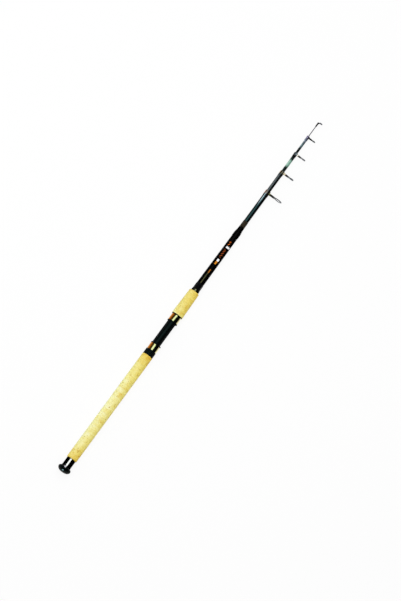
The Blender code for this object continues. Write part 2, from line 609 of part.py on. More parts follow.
def make_sections():
    """Sections 2 to 5 with their guides, and what section 2 has at its base and next to the nose."""
    reaches = (GUIDE_1_REACH, GUIDE_2_REACH, GUIDE_3_REACH, GUIDE_4_REACH)
    ring_radii = (GUIDE_1_RADIUS, GUIDE_2_RADIUS, GUIDE_3_RADIUS, GUIDE_4_RADIUS)
    collars = (FIRST_COLLAR_LENGTH, COLLAR_LENGTH, COLLAR_LENGTH, COLLAR_LENGTH)
    finishes = ("bronze chrome", "bronze chrome", "dark chrome", "dark chrome")
    for i, size in enumerate(SECTIONS):
        make_section(f"section_{i + 2}", size, BASE_SWELL if i else 0.0)
        x_end = size["x_end"]
        radius = section_radius(size, x_end - collars[i] - WINDING_LENGTH)
        make_guide(f"guide_{i + 1}", x_end, radius, collars[i], reaches[i], ring_radii[i], finishes[i])

    outline = ring_outline(X_BASES, X_BASES + BUSH_LENGTH, BUSH_RADIUS, BUSH_BORE)
    add_object("section_2_base_bush", turn(outline, SECTION_STEPS), "satin black plastic")
    x_band = X_NOSE_END + END_GAP
    bore = section_radius(SECTIONS[0], x_band) + GLUE_GAP
    x_end = x_band + STOP_BAND_LENGTH
    outline = ring_outline(x_band, x_end, bore + STOP_BAND_WALL, bore, STOP_BAND_WALL / 2)
    add_object("section_2_stop_band", turn(outline, SECTION_STEPS), "lacquered bronze thread")


def make_tip():
    """The solid tip rod, and the tip-top: a capped tube, two legs and a holder in one, with its ring."""
    base = TIP_BASE_RADIUS + BASE_SWELL
    outline = [(X_BASES, 0), (X_BASES, base), (X_BASES + BASE_LENGTH, base), (X_TAPERS, TIP_BASE_RADIUS)]
    outline += [(X_TIP_END, TIP_END_RADIUS), (X_TIP_END, 0)]
    add_object("tip_rod", turn(outline, SECTION_STEPS, closed=False), "graphite")

    taper = (TIP_BASE_RADIUS - TIP_END_RADIUS) / (X_TIP_END - X_TAPERS)
    bore = TIP_END_RADIUS + taper * TIP_TUBE_LENGTH + GLUE_GAP
    outside = bore + TIP_TUBE_WALL
    cap = -HOLDER_LENGTH / 2
    rod_end = cap - TIP_TUBE_WALL - END_GAP
    start = rod_end - TIP_TUBE_LENGTH
    x_ring = X_TIP_END - rod_end
    tube = [(start, 0), (start, outside), (cap - TIP_TUBE_WALL, outside), (cap, bore), (cap, 0)]
    frame = add_object("tip_top_frame", turn(tube, SECTION_STEPS, closed=False), "dark chrome", x_ring)
    holder = ring_holder(TIP_TOP_RADIUS)
    root = Vector((start + TIP_TUBE_LENGTH / 2, 0, bore))
    legs = make_legs(root, TIP_TOP_REACH, holder, (TIP_LEG_WIDTH, TIP_LEG_WIDTH), TIP_LEG_THICKNESS)
    hole = turn_bar(start - TIP_TUBE_WALL, rod_end + END_GAP, bore, SECTION_STEPS)
    finish_guide("tip_top", frame, legs, hole, TIP_TOP_REACH, holder)

    radius = TIP_END_RADIUS + taper * (TIP_TUBE_LENGTH + END_GAP + WINDING_LENGTH)
    outline = winding_outline(start - END_GAP, radius, start - END_GAP - WINDING_LENGTH, radius)
    add_object("tip_winding", turn(outline, SECTION_STEPS), "lacquered bronze thread", x_ring)


def attach(names, parent):
    """Make pieces the children of another one and leave them where they are."""
    holder = bpy.data.objects[parent]
    for name in names:
        child = bpy.data.objects[name]
        child.parent = holder
        child.matrix_parent_inverse = holder.matrix_world.inverted()


for old in list(bpy.data.objects):
    bpy.data.objects.remove(old, do_unlink=True)

make_butt_cap()
make_grips()
make_reel_seat()
make_butt_blank()
make_sections()
make_tip()

bpy.context.view_layer.update()
attach(("butt_sleeve", "rear_grip", "reel_seat_barrel", "fixed_hood", "fixed_hood_cover"), "butt_blank")
attach(("seat_front_ring", "fore_grip", "winding_check", "fore_winding", "nose_collar"), "butt_blank")
attach(("cap_seal", "section_2", "sliding_hood"), "butt_blank")
attach(("butt_cap",), "cap_seal")
attach(("cap_cushion",), "butt_cap")
attach(("sliding_hood_cover", "lock_nut"), "sliding_hood")
attach(("section_2_base_bush", "section_2_stop_band"), "section_2")
attach(("section_3", "guide_1_frame", "guide_1_ring", "guide_1_winding"), "section_2")
attach(("section_4", "guide_2_frame", "guide_2_ring", "guide_2_winding"), "section_3")
attach(("section_5", "guide_3_frame", "guide_3_ring", "guide_3_winding"), "section_4")
attach(("tip_rod", "guide_4_frame", "guide_4_ring", "guide_4_winding"), "section_5")
attach(("tip_top_frame", "tip_top_ring", "tip_winding"), "tip_rod")
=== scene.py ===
# A telescopic spinning rod, pushed together, lying on its side on a white studio floor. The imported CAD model
# gives every place and size; this script gives the fine surfaces, the finishes, the light and the camera.
import json
import math

import bmesh
import bpy
from mathutils import Matrix, Vector


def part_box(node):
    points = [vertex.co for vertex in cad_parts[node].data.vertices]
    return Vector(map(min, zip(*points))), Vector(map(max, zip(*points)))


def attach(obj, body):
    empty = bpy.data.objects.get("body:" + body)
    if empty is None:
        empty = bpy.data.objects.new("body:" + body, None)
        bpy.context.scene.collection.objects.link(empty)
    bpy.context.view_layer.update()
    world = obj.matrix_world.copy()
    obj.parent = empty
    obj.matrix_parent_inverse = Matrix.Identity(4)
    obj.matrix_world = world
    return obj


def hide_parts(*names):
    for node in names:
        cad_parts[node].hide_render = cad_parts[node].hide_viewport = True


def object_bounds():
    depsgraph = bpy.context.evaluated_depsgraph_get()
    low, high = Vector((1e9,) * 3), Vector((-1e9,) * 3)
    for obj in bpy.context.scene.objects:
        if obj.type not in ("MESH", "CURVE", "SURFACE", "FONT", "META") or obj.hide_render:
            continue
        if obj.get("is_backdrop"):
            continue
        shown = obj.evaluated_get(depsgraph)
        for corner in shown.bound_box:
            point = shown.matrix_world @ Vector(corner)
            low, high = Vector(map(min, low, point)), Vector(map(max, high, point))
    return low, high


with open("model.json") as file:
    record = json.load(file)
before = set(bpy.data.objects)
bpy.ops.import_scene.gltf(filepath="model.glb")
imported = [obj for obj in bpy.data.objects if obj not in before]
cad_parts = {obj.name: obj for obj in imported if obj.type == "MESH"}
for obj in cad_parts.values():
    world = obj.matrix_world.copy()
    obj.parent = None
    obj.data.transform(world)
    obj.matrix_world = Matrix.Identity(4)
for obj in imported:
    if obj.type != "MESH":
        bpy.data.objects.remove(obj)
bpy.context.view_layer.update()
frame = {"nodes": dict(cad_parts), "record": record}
mm = 0.001
print("frame loaded:", len(frame["nodes"]), "nodes")


view = {
    "aim": (0.5484, -0.0246, 0.0),  # what the picture's centre looks at
    "distance": 40.0,  # far off behind a long lens, so that both ends of the rod keep one scale
    "tilt": 11.0,  # degrees that the camera leans towards the butt
    "turn": 53.72,  # degrees from the picture's lower edge up to the rod
    "height": 1.4750,  # metres from the picture's lower edge to its upper one
}
tilt = math.radians(view["tilt"])
turn = math.radians(view["turn"])
along = Vector((math.cos(tilt), 0, math.sin(tilt)))
across = Vector((0, 1, 0))
back = along.cross(across)
right = along * math.cos(turn) - across * math.sin(turn)
up = along * math.sin(turn) + across * math.cos(turn)
camera = bpy.data.objects.new("camera", bpy.data.cameras.new("camera"))
camera.data.lens = camera.data.sensor_width * view["distance"] / view["height"]
camera.data.clip_end = 2 * view["distance"]
camera.matrix_world = Matrix.Translation(Vector(view["aim"]) + back * view["distance"]) @ Matrix(
    (right, up, back)).transposed().to_4x4()
bpy.context.scene.collection.objects.link(camera)
bpy.context.scene.camera = camera
bpy.context.scene.view_settings.view_transform = "Standard"
print("camera placed")


def toLinear(hexColour):  # sRGB hex to the linear colour that the shader wants
    channels = [int(hexColour[i:i + 2], 16) / 255 for i in (1, 3, 5)]
    linear = [c / 12.92 if c <= 0.04045 else ((c + 0.055) / 1.055) ** 2.4 for c in channels]
    return (*linear, 1.0)


def addNode(tree, kind, settings=None, links=None):
    # Settings name a property, an input or, as stops, a ramp's (place, hex colour) pairs; links name an input
    node = tree.nodes.new(kind)
    for key, value in (settings or {}).items():
        if key == "stops":
            elements = node.color_ramp.elements
            elements[0].position, elements[1].position = value[0][0], value[-1][0]
            for place, _ in value[1:-1]:
                elements.new(place)
            for element, (_, colour) in zip(elements, value):
                element.color = toLinear(colour)
        elif isinstance(key, str) and hasattr(node, key):
            setattr(node, key, value)
        else:
            node.inputs[key].default_value = value
    for key, socket in (links or {}).items():
        tree.links.new(socket, node.inputs[key])
    return node


def newMaterial(name, colour, roughness, metallic=0.0, ior=None):
    material = bpy.data.materials.new(name)
    material.use_nodes = True
    tree = material.node_tree
    shader = tree.nodes["Principled BSDF"]
    shader.inputs["Base Color"].default_value = toLinear(colour)
    shader.inputs["Roughness"].default_value = roughness
    shader.inputs["Metallic"].default_value = metallic
    if ior:
        shader.inputs["IOR"].default_value = ior
    return material, tree, shader


def placeApart(tree):
    # Where a point lies on its piece, as x, y and z
    place = addNode(tree, "ShaderNodeTexCoord")
    return addNode(tree, "ShaderNodeSeparateXYZ", links={0: place.outputs["Object"]}).outputs


def facing(tree, direction):
    # How far the surface looks that way: 1 straight along the direction, -1 straight against it
    geometry = addNode(tree, "ShaderNodeNewGeometry")
    return addNode(tree, "ShaderNodeVectorMath", {"operation": "DOT_PRODUCT", 1: direction},
                   {0: geometry.outputs["Normal"]}).outputs["Value"]


def between(tree, socket, low, high, soft):
    # 1 from low to high and 0 outside, with soft edges
    rise = addNode(tree, "ShaderNodeMapRange", {"interpolation_type": "SMOOTHSTEP", "From Min": low,
                                                "From Max": low + soft}, {"Value": socket})
    fall = addNode(tree, "ShaderNodeMapRange", {"interpolation_type": "SMOOTHSTEP", "From Min": high - soft,
                                                "From Max": high, "To Min": 1.0, "To Max": 0.0},
                   {"Value": socket})
    return addNode(tree, "ShaderNodeMath", {"operation": "MULTIPLY"},
                   {0: rise.outputs[0], 1: fall.outputs[0]}).outputs[0]


def paintLightAround(tree, stops):
    # Painted light and shade round a piece, set by which way its surface faces: from the side with the guides
    # at 0 to the far side at 1
    side = addNode(tree, "ShaderNodeMapRange", {"From Min": -1.0, "From Max": 1.0},
                   {"Value": facing(tree, (0, 1, 0))})
    return addNode(tree, "ShaderNodeValToRGB", {"stops": stops}, {0: side.outputs[0]}).outputs[0]


sheen = {"from": 0.3, "to": 0.95}  # how far a surface looks up where its shine begins, and where it is full


def sheenOnTop(tree, flankShine, topShine):
    # Little shine on the flanks and more on top, as on dark plastic under a high light
    return addNode(tree, "ShaderNodeMapRange", {"From Min": sheen["from"], "From Max": sheen["to"],
                                                "To Min": flankShine, "To Max": topShine},
                   {"Value": facing(tree, (0, 0, 1))}).outputs[0]


cork = {
    "light": "#F9F6C4", "mid": "#F4EC9E", "warm": "#E9D074", "joint": "#D6B75E", "pit": "#B8924A",
    "roughness": 0.78,
    "warmAt": 0.36, "midAt": 0.52, "lightAt": 0.74,  # levels of the cloudy pattern
    # painted shade round the grips: warmer and deeper yellow on the side with the guides, away from the light
    "paintedLight": ((0.0, "#FFF4BA"), (0.3, "#FFF9D0"), (0.6, "#FDFDFA"), (1.0, "#F8FDFF")),
    # the gold deepens towards the ends of both grips, given as (mm from the butt, colour)
    "endTinted": ((38, "#F4DC88"), (46, "#F8E6A6"), (56, "#FCF2CC"), (75, "#FEF9E4"), (112, "#FFFFFC"),
                (262, "#FFFFFC"), (300, "#FEFAE4"), (332, "#FAF2CC"), (345, "#F6E6AE"), (352, "#F8E298"),
                (358, "#F6DE90"), (484, "#FAFBF2"), (498, "#F8F0CE"), (530, "#F8ECBE"), (546, "#F6E6A8"),
                (557, "#F2DC92")),
    "endTintFrom": 30 * mm, "endTintTo": 570 * mm,
    "ring": 12.7 * mm,  # a grip is a row of cork rings
    "ringContrast": 0.16,  # how far a ring's tone may lie from its neighbour's
    "jointWidth": 0.35 * mm,
    "grain": 5.0 * mm, "grainDetail": 5.0, "grainRoughness": 0.62,
    "pitSize": 1.6 * mm,  # real pits are often finer, drawn coarser so that they show
    "pitDetail": 2.0, "pitStretch": 0.45, "pitOpens": 0.64, "pitOpen": 0.72,
    "relief": 0.25 * mm, "reliefStrength": 0.6,
}


def makeCork():
    # Natural cork rings, glued, turned and sanded: matt and pale, cloudy from ring to ring, with brown pits
    material, tree, shader = newMaterial("natural cork, turned and sanded", cork["mid"], cork["roughness"])
    place = addNode(tree, "ShaderNodeTexCoord").outputs["Object"]
    apart = placeApart(tree)
    count = addNode(tree, "ShaderNodeMath", {"operation": "DIVIDE", 1: cork["ring"]}, {0: apart["X"]})
    number = addNode(tree, "ShaderNodeMath", {"operation": "FLOOR"}, {0: count.outputs[0]})
    ringTone = addNode(tree, "ShaderNodeTexWhiteNoise", {"noise_dimensions": "1D"}, {"W": number.outputs[0]})
    within = addNode(tree, "ShaderNodeMath", {"operation": "FRACT"}, {0: count.outputs[0]})
    joint = addNode(tree, "ShaderNodeMapRange", {"From Max": cork["jointWidth"] / cork["ring"],
                                                 "To Min": 1.0, "To Max": 0.0}, {"Value": within.outputs[0]})
    # a noise cell is two clouds or two pits wide
    clouds = addNode(tree, "ShaderNodeTexNoise",
                     {"noise_dimensions": "4D", "Scale": 1 / cork["grain"] / 2, "Detail": cork["grainDetail"],
                      "Roughness": cork["grainRoughness"]}, {"Vector": place, "W": number.outputs[0]})
    tone = addNode(tree, "ShaderNodeMath", {"operation": "MULTIPLY_ADD", 1: cork["ringContrast"]},
                   {0: ringTone.outputs["Value"], 2: clouds.outputs["Fac"]})
    stops = [(cork[f"{name}At"], cork[name]) for name in ("warm", "mid", "light")]
    colour = addNode(tree, "ShaderNodeValToRGB", {"stops": stops}, {0: tone.outputs[0]})
    stretched = addNode(tree, "ShaderNodeMapping", {"Scale": (cork["pitStretch"], 1.0, 1.0)},
                        {"Vector": place})
    pits = addNode(tree, "ShaderNodeTexNoise",
                   {"Scale": 1 / cork["pitSize"] / 2, "Detail": cork["pitDetail"]},
                   {"Vector": stretched.outputs[0]})
    pitMask = addNode(tree, "ShaderNodeMapRange", {"From Min": cork["pitOpens"], "From Max": cork["pitOpen"]},
                      {"Value": pits.outputs["Fac"]})
    jointed = addNode(tree, "ShaderNodeMix", {"data_type": "RGBA", 7: toLinear(cork["joint"])},
                      {0: joint.outputs[0], 6: colour.outputs[0]})
    pitted = addNode(tree, "ShaderNodeMix", {"data_type": "RGBA", 7: toLinear(cork["pit"])},
                     {0: pitMask.outputs[0], 6: jointed.outputs[2]})
    shaded = addNode(tree, "ShaderNodeMix", {"data_type": "RGBA", "blend_type": "MULTIPLY", 0: 1.0},
                     {6: pitted.outputs[2], 7: paintLightAround(tree, cork["paintedLight"])})
    lengthwise = addNode(tree, "ShaderNodeMapRange", {"From Min": cork["endTintFrom"],
                                                      "From Max": cork["endTintTo"]}, {"Value": apart["X"]})
    span = cork["endTintTo"] - cork["endTintFrom"]
    stops = [((x * mm - cork["endTintFrom"]) / span, tint) for x, tint in cork["endTinted"]]
    golden = addNode(tree, "ShaderNodeValToRGB", {"stops": stops}, {0: lengthwise.outputs[0]})
    endTinted = addNode(tree, "ShaderNodeMix", {"data_type": "RGBA", "blend_type": "MULTIPLY", 0: 1.0},
                      {6: shaded.outputs[2], 7: golden.outputs[0]})
    tree.links.new(endTinted.outputs[2], shader.inputs["Base Color"])
    dips = addNode(tree, "ShaderNodeMath", {"operation": "ADD"}, {0: pitMask.outputs[0], 1: joint.outputs[0]})
    height = addNode(tree, "ShaderNodeMath", {"operation": "SUBTRACT"},
                     {0: clouds.outputs["Fac"], 1: dips.outputs[0]})
    bump = addNode(tree, "ShaderNodeBump", {"Strength": cork["reliefStrength"], "Distance": cork["relief"]},
                   {"Height": height.outputs[0]})
    tree.links.new(bump.outputs[0], shader.inputs["Normal"])
    return material


moulded = {
    "colour": "#020303", "roughness": 0.42, "ior": 1.53,
    "flankShine": 0.03, "topShine": 0.12, "shineColour": "#9FD8D4",
    "grain": 0.6 * mm, "grainDetail": 3.0, "grainDepth": 0.02 * mm, "grainStrength": 0.5,
    "glossier": 0.06, "duller": 0.08,  # how far the grain takes the roughness down and up
}
rubber = {"colour": "#0E0E0E", "roughness": 0.7, "topShine": 0.2}


def makeMoulded(name, colour, roughness, topShine):
    # Glass-filled nylon, or another plastic or rubber, moulded in a spark-eroded tool: black with a soft cool
    # sheen and a fine orange peel
    material, tree, shader = newMaterial(name, colour, roughness, ior=moulded["ior"])
    tree.links.new(sheenOnTop(tree, moulded["flankShine"], topShine), shader.inputs["Specular IOR Level"])
    shader.inputs["Specular Tint"].default_value = toLinear(moulded["shineColour"])
    place = addNode(tree, "ShaderNodeTexCoord").outputs["Object"]
    grain = addNode(tree, "ShaderNodeTexNoise",
                    {"Scale": 1 / moulded["grain"], "Detail": moulded["grainDetail"]}, {"Vector": place})
    rough = addNode(tree, "ShaderNodeMapRange", {"To Min": roughness - moulded["glossier"],
                                                 "To Max": roughness + moulded["duller"]},
                    {"Value": grain.outputs["Fac"]})
    tree.links.new(rough.outputs[0], shader.inputs["Roughness"])
    bump = addNode(tree, "ShaderNodeBump",
                   {"Strength": moulded["grainStrength"], "Distance": moulded["grainDepth"]},
                   {"Height": grain.outputs["Fac"]})
    tree.links.new(bump.outputs[0], shader.inputs["Normal"])
    return material


knob = {
    # the fuller form: where its rim stands widest, and the radii of its end face and of its neck
    "widest": 9.6 * mm, "face": 4.0 * mm, "neck": 11.6 * mm, "steps": 14,
    "roughness": 0.3, "topShine": 0.15,
    # two highlights are painted on it, told by how far the surface looks along x and y: (lowest, highest,
    # softness)
    "domeHighlight": {"colour": "#8CB8BC", "towardsX": (-0.96, -0.68, 0.12), "towardsY": (-0.04, 0.20, 0.09)},
    "shoulderHighlight": {"colour": "#D8D2E0", "towardsX": (0.10, 1.3, 0.25), "towardsY": (-0.04, 0.22, 0.07)},
    "upperFrom": 0.1, "upperTo": 0.3,  # they lie on the upper side alone
}


def makeKnob():
    # ABS, moulded in a polished tool: a wet black, with a painted highlight as a cool patch in its dome and a
    # painted white line down its shoulder
    material = makeMoulded("ABS knob, moulded", moulded["colour"], knob["roughness"], knob["topShine"])
    tree = material.node_tree
    highlightMask = addNode(tree, "ShaderNodeMapRange", {"From Min": knob["upperFrom"], "From Max": knob["upperTo"]},
                    {"Value": facing(tree, (0, 0, 1))})
    last = None
    for name in ("domeHighlight", "shoulderHighlight"):
        light = knob[name]
        both = addNode(tree, "ShaderNodeMath", {"operation": "MULTIPLY"},
                       {0: between(tree, facing(tree, (1, 0, 0)), *light["towardsX"]),
                        1: between(tree, facing(tree, (0, 1, 0)), *light["towardsY"])})
        mask = addNode(tree, "ShaderNodeMath", {"operation": "MULTIPLY"},
                       {0: both.outputs[0], 1: highlightMask.outputs[0]})
        mix = addNode(tree, "ShaderNodeMix", {"data_type": "RGBA", 6: toLinear(moulded["colour"]),
                                              7: toLinear(light["colour"])}, {0: mask.outputs[0]})
        if last:
            tree.links.new(last, mix.inputs[6])
        last = mix.outputs[2]
    tree.links.new(last, tree.nodes["Principled BSDF"].inputs["Base Color"])
    return material


chromed = {
    "flank": "#010202", "edge": "#000000", "roughness": 0.09,
    "wave": 9 * mm, "waveDepth": 0.05 * mm, "waveStrength": 0.15,
    # the line of light, painted into the mirror's colour: its lean in degrees off the top, away from the
    # guides, and how it brightens there
    "black": {"top": "#A8ABA8", "lean": 7.0, "from": 0.95, "to": 0.985},
    "bronze": {"top": "#5A5C44", "lean": 0.0, "from": 0.72, "to": 0.92},
}


def makeChromed(name, line):
    # Turned aluminium, black chromed and polished: a deep black mirror with one sharp line of light painted
    # along it
    material, tree, shader = newMaterial(name, line["top"], chromed["roughness"], 1.0)
    shader.inputs["Specular Tint"].default_value = toLinear(chromed["edge"])
    lean = math.radians(line["lean"])
    highlightMask = addNode(tree, "ShaderNodeMapRange", {"interpolation_type": "SMOOTHSTEP", "From Min": line["from"],
                                                 "From Max": line["to"]},
                    {"Value": facing(tree, (0, math.sin(lean), math.cos(lean)))})
    colour = addNode(tree, "ShaderNodeMix", {"data_type": "RGBA", 6: toLinear(chromed["flank"]),
                                             7: toLinear(line["top"])}, {0: highlightMask.outputs[0]})
    tree.links.new(colour.outputs[2], shader.inputs["Base Color"])
    place = addNode(tree, "ShaderNodeTexCoord").outputs["Object"]
    waves = addNode(tree, "ShaderNodeTexNoise", {"Scale": 1 / chromed["wave"]}, {"Vector": place})
    bump = addNode(tree, "ShaderNodeBump",
                   {"Strength": chromed["waveStrength"], "Distance": chromed["waveDepth"]},
                   {"Height": waves.outputs["Fac"]})
    tree.links.new(bump.outputs[0], shader.inputs["Normal"])
    return material


goldPlate = {
    "base": "#E8DFA6", "roughness": 0.12,
    # painted reflections round the plate: the lamp's cream, the dark room's brown, and an orange sheen on the
    # far side
    "paintedLight": ((0.0, "#FFFBE0"), (0.08, "#E8DFA6"), (0.15, "#14180A"), (0.3, "#30371C"), (0.42, "#8EA070"),
               (0.58, "#A2A474"), (0.7, "#66501A"), (0.85, "#AA5C08"), (0.96, "#C87C20"), (1.0, "#ECC870")),
    "turning": 0.25 * mm, "turningDetail": 4.0, "turningDepth": 0.01 * mm, "turningStrength": 0.25,
}


def makeGold():
    # Brass strip, polished round the tube and gold plated, with fine turning marks: painted bands of
    # reflection round it, bright cream and deep brown, redder on the side away from the reel
    material, tree, shader = newMaterial("gold plated brass, polished", goldPlate["base"],
                                         goldPlate["roughness"], 1.0)
    tree.links.new(paintLightAround(tree, goldPlate["paintedLight"]), shader.inputs["Base Color"])
    apart = placeApart(tree)
    lines = addNode(tree, "ShaderNodeTexNoise", {"noise_dimensions": "1D", "Scale": 1 / goldPlate["turning"],
                                                 "Detail": goldPlate["turningDetail"]}, {"W": apart["X"]})
    bump = addNode(tree, "ShaderNodeBump", {"Strength": goldPlate["turningStrength"],
                                            "Distance": goldPlate["turningDepth"]},
                   {"Height": lines.outputs["Fac"]})
    tree.links.new(bump.outputs[0], shader.inputs["Normal"])
    return material


thread = {
    "pitch": 0.5 * mm,  # real thread lies 0.2 mm apart, drawn coarser so that it shows
    "ridge": 0.05 * mm, "stepsPerPitch": 4, "relief": 0.06 * mm, "reliefStrength": 0.5,
    "leastTurns": 3, "outerFrom": 0.2,  # ridges go on stretches so long and so far out in a winding's wall
    "shine": 0.04, "coat": 0.08, "coatRoughness": 0.08,
    "black": {"groove": "#030303", "crown": "#0D0E10", "roughness": 0.3},
    "bronze": {"groove": "#0C0A06", "crown": "#3E3628", "roughness": 0.35},
    "tipEpoxy": 0.3 * mm,  # how much thicker the epoxy stands on the thin tip
    # the epoxy's line of light on a guide's winding, painted as colours round it
    "epoxy": {
        "guide_1_winding": ((0.0, "#000000"), (0.48, "#000000"), (0.61, "#5C7880"), (0.69, "#B4CCD4"),
                            (0.78, "#3C484C"), (0.86, "#040606"), (1.0, "#000000")),
        "guide_2_winding": ((0.0, "#000000"), (0.42, "#040606"), (0.62, "#40484C"), (0.76, "#4C5454"),
                            (0.9, "#202424"), (1.0, "#000000")),
        "guide_4_winding": ((0.0, "#2A303C"), (0.5, "#565E70"), (1.0, "#8C94A6")),
    },
}


def makeThread(name, yarn, epoxy=None):
    # Nylon thread, wound side by side and sealed with epoxy: fine rings of light under a clear glossy skin
    material, tree, shader = newMaterial(name, yarn["crown"], yarn["roughness"])
    shader.inputs["Specular IOR Level"].default_value = thread["shine"]
    shader.inputs["Coat Weight"].default_value = thread["coat"]
    shader.inputs["Coat Roughness"].default_value = thread["coatRoughness"]
    apart = placeApart(tree)
    turns = addNode(tree, "ShaderNodeMath", {"operation": "MULTIPLY", 1: math.tau / thread["pitch"]},
                    {0: apart["X"]})
    wave = addNode(tree, "ShaderNodeMath", {"operation": "SINE"}, {0: turns.outputs[0]})
    share = addNode(tree, "ShaderNodeMapRange", {"From Min": -1.0, "From Max": 1.0},
                    {"Value": wave.outputs[0]})
    mix = addNode(tree, "ShaderNodeMix", {"data_type": "RGBA", 6: toLinear(yarn["groove"]),
                                          7: toLinear(yarn["crown"])}, {0: share.outputs[0]})
    if epoxy:
        # adds the painted line of light
        mix = addNode(tree, "ShaderNodeMix", {"data_type": "RGBA", "blend_type": "ADD", 0: 1.0},
                      {6: mix.outputs[2], 7: paintLightAround(tree, epoxy)})
    tree.links.new(mix.outputs[2], shader.inputs["Base Color"])
    bump = addNode(tree, "ShaderNodeBump",
                   {"Strength": thread["reliefStrength"], "Distance": thread["relief"]},
                   {"Height": share.outputs[0]})
    tree.links.new(bump.outputs[0], shader.inputs["Normal"])
    return material


blank = {
    "black": "#010101", "roughness": 0.34, "ior": 1.5, "flankShine": 0.0, "topShine": 0.035,
    "trimEdge": 0.3 * mm,  # softness of the trim's edges
    # plain trim on both sides: along in mm from the fore winding's front end, across in mm off the middle
    "trim": {
        "pinline": {"colour": "#4C4E30", "along": (1.0, 42.0), "across": (-0.2, 2.2), "striped": False},
        "pinlineEnd": {"colour": "#A8651C", "along": (32.5, 43.5), "across": (-0.8, 2.0), "striped": False},
        "lozenge": {"colour": "#D88A24", "along": (60.0, 69.0), "across": (-2.4, 2.2), "striped": False},
        "bead": {"colour": "#FFFFFF", "along": (69.2, 76.0), "across": (-3.4, 2.0), "striped": False},
        "diagonals": {"colour": "#8C3F12", "along": (80.0, 106.0), "across": (-2.2, 2.8), "striped": True},
        "halfBand": {"colour": "#F4F6F8", "along": (109.5, 115.0), "across": (-6.8, 2.6), "striped": False},
        "chevron": {"colour": "#C2601A", "along": (116.0, 129.0), "across": (-1.4, 2.6), "striped": True},
    },
    "stripeStep": 7.0 * mm, "stripeSlant": 1.1,
    "stripe": (0.1, 0.62, 0.06),  # from and to as shares of a step, and its softness
}


def makeBlank():
    # Glass-fibre tube, ground smooth, sprayed black and clear coated: deep black with a faint line of light,
    # a pinline and a row of plain gold and white trim marks under the coat
    material, tree, shader = newMaterial("black clear-coated glass fibre", blank["black"], blank["roughness"],
                                         ior=blank["ior"])
    tree.links.new(sheenOnTop(tree, blank["flankShine"], blank["topShine"]),
                   shader.inputs["Specular IOR Level"])
    apart = placeApart(tree)
    slanted = addNode(tree, "ShaderNodeMath", {"operation": "MULTIPLY_ADD", 1: blank["stripeSlant"]},
                      {0: apart["Y"], 2: apart["X"]})
    steps = addNode(tree, "ShaderNodeMath", {"operation": "DIVIDE", 1: blank["stripeStep"]},
                    {0: slanted.outputs[0]})
    within = addNode(tree, "ShaderNodeMath", {"operation": "FRACT"}, {0: steps.outputs[0]})
    stripes = between(tree, within.outputs[0], *blank["stripe"])
    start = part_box("fore_winding")[1].x
    colour = None
    for mark in blank["trim"].values():
        rear, front = (start + x * mm for x in mark["along"])
        low, high = (y * mm for y in mark["across"])
        mask = addNode(tree, "ShaderNodeMath", {"operation": "MULTIPLY"},
                       {0: between(tree, apart["X"], rear, front, blank["trimEdge"]),
                        1: between(tree, apart["Y"], low, high, blank["trimEdge"])})
        if mark["striped"]:
            mask = addNode(tree, "ShaderNodeMath", {"operation": "MULTIPLY"},
                           {0: mask.outputs[0], 1: stripes})
        mix = addNode(tree, "ShaderNodeMix", {"data_type": "RGBA", 6: toLinear(blank["black"]),
                                              7: toLinear(mark["colour"])}, {0: mask.outputs[0]})
        if colour:
            tree.links.new(colour, mix.inputs[6])
        colour = mix.outputs[2]
    tree.links.new(colour, shader.inputs["Base Color"])
    return material


tubes = {
    "base": "#101010", "roughness": 0.34, "ior": 1.5, "shine": 0.03,
    "under": "#060909", "underFrom": -0.7, "underTo": 0.0,  # painted shade: darker on the side that faces down
    # the shrink tape that the tube was baked in leaves a faint spiral
    "tapeWidth": 3.2 * mm, "tapeDepth": 0.03 * mm, "tapeStrength": 0.35,
    # painted sheen as colours round each section, and the stretches where a brighter painted sheen lies: from
    # and to in mm off the section's front end, and how softly they begin and end
    "sections": {
        "section_2": {
            "paintedLight": ((0.0, "#000000"), (0.3, "#000303"), (0.42, "#081516"), (0.5, "#1A3233"),
                       (0.6, "#2C4C4D"), (0.7, "#223C3C"), (0.8, "#142220"), (0.9, "#0A100E"),
                       (1.0, "#000000")),
            "paintedSheens": ({"from": -51.8, "to": 40.2, "soft": 32,
                       "paintedLight": ((0.0, "#000000"), (0.4, "#000303"), (0.51, "#12262A"), (0.61, "#6C8E96"),
                                  (0.69, "#CCE4EC"), (0.77, "#5C6C70"), (0.85, "#0C1212"),
                                  (1.0, "#000000"))},)},
        "section_3": {
            "paintedLight": ((0.0, "#000000"), (0.36, "#030606"), (0.5, "#242B2E"), (0.62, "#525C60"),
                       (0.74, "#5E6668"), (0.86, "#484C4B"), (0.95, "#1A1C1C"), (1.0, "#000000")),
            "paintedSheens": ()},
        "section_4": {
            "paintedLight": ((0.0, "#020605"), (0.5, "#101B19"), (0.7, "#1A2A27"), (0.85, "#263835"),
                       (1.0, "#1A2625")),
            "paintedSheens": ({"from": -46.4, "to": -18.4, "soft": 9,
                       "paintedLight": ((0.0, "#5C8676"), (0.5, "#8AB29F"), (1.0, "#A8C8BA"))},)},
        "section_5": {
            "paintedLight": ((0.0, "#040706"), (0.5, "#0E1614"), (0.8, "#1A2422"), (1.0, "#101716")),
            "paintedSheens": ({"from": -40.2, "to": -16.2, "soft": 12,
                       "paintedLight": ((0.0, "#243236"), (0.5, "#526C72"), (1.0, "#94AAAE"))},
                      {"from": -24.2, "to": 1.8, "soft": 10,
                       "paintedLight": ((0.0, "#3E4654"), (0.5, "#6C7888"), (1.0, "#A4B2BC"))})},
        "tip_rod": {"paintedLight": ((0.0, "#36363F"), (0.5, "#3E3E48"), (1.0, "#54545F")), "paintedSheens": ()},
    },
}


